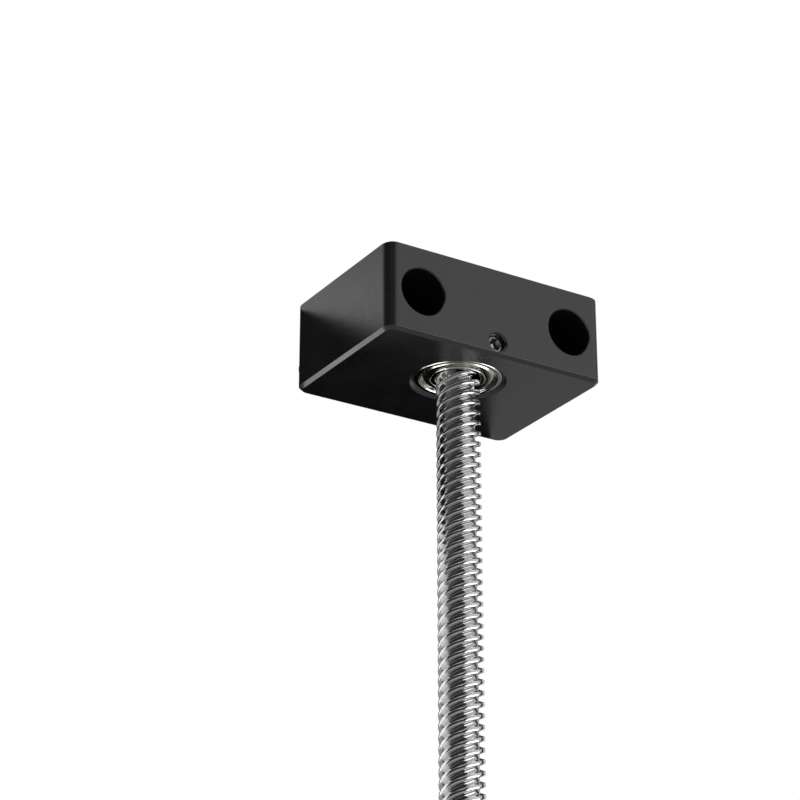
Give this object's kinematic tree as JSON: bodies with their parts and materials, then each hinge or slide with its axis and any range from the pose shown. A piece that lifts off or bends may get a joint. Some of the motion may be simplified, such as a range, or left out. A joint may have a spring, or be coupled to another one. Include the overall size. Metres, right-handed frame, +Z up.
{
  "type": "lead screw assembly",
  "caption": "Screw drive: counterbored top bearing block, multi-start trapezoidal lead screw in a shielded ball bearing, flanged nut and jaw coupling.",
  "frame": {"origin": "midway between the two mounting screws, on the back face of the bearing block", "axes": "+X across the block, +Y out of the back face towards the rail it bolts to, +Z up along the screw"},
  "size_m": [0.0454, 0.04, 0.2715],
  "materials": {
    "anodised_block": "satin black anodised over a fine bead-blasted surface",
    "black_oxide_steel": "black oxide with a thin film of oil",
    "grub_screw_steel": "bright plated",
    "thread_steel": "rolled stainless thread, bright crests and finely lined flanks",
    "bearing_steel": "ground, fine circular lines",
    "shield_steel": "pressed sheet, satin with a faint warm tint",
    "ball_steel": "polished",
    "cage_brass": "pressed strip, satin",
    "nut_brass": "turned, fine tool lines",
    "coupling_aluminium": "turned and clear anodised",
    "spider_rubber": "moulded polyurethane, slight gloss"
  },
  "bodies": {
    "block": {"bearing_block": "anodised_block", "left_mount_screw": "black_oxide_steel", "right_mount_screw": "black_oxide_steel", "bearing_grub_screw": "grub_screw_steel", "bearing_outer_ring": "bearing_steel", "bearing_shield_lower": "shield_steel", "bearing_shield_upper": "shield_steel", "shield_snap_ring_lower": "bearing_steel", "shield_snap_ring_upper": "bearing_steel"},
    "screw": {"lead_screw": "thread_steel", "bearing_inner_ring": "bearing_steel", "coupling_upper_hub": "coupling_aluminium", "coupling_lower_hub": "coupling_aluminium", "coupling_spider": "spider_rubber", "coupling_upper_clamp_screw": "black_oxide_steel", "coupling_lower_clamp_screw": "black_oxide_steel"},
    "ball_set": {"bearing_ball_1": "ball_steel", "bearing_ball_2": "ball_steel", "bearing_ball_3": "ball_steel", "bearing_ball_4": "ball_steel", "bearing_ball_5": "ball_steel", "bearing_ball_6": "ball_steel", "bearing_ball_7": "ball_steel", "bearing_ball_8": "ball_steel", "bearing_ball_9": "ball_steel", "cage_half_lower": "cage_brass", "cage_half_upper": "cage_brass"},
    "nut": {"lead_screw_nut": "nut_brass"}
  },
  "joints": [
    {"name": "screw_spin", "type": "hinge", "parent": "block", "child": "screw", "pos_m": [0, -0.0195, 0], "axis": [0, 0, 1], "range_deg": [-4500, 4500]},
    {"name": "nut_travel", "type": "slide", "parent": "block", "child": "nut", "axis": [0, 0, 1], "range_m": [-0.1001, 0.1001]},
    {"name": "ball_orbit", "type": "hinge", "parent": "block", "child": "ball_set", "pos_m": [0, -0.0195, -0.0056], "axis": [0, 0, 1], "range_deg": [-1876, 1876]}
  ],
  "couplings": [
    {"joint": "nut_travel", "follows": "screw_spin", "m_per_rad": -0.0012732},
    {"joint": "ball_orbit", "follows": "screw_spin", "ratio": 0.41667}
  ]
}
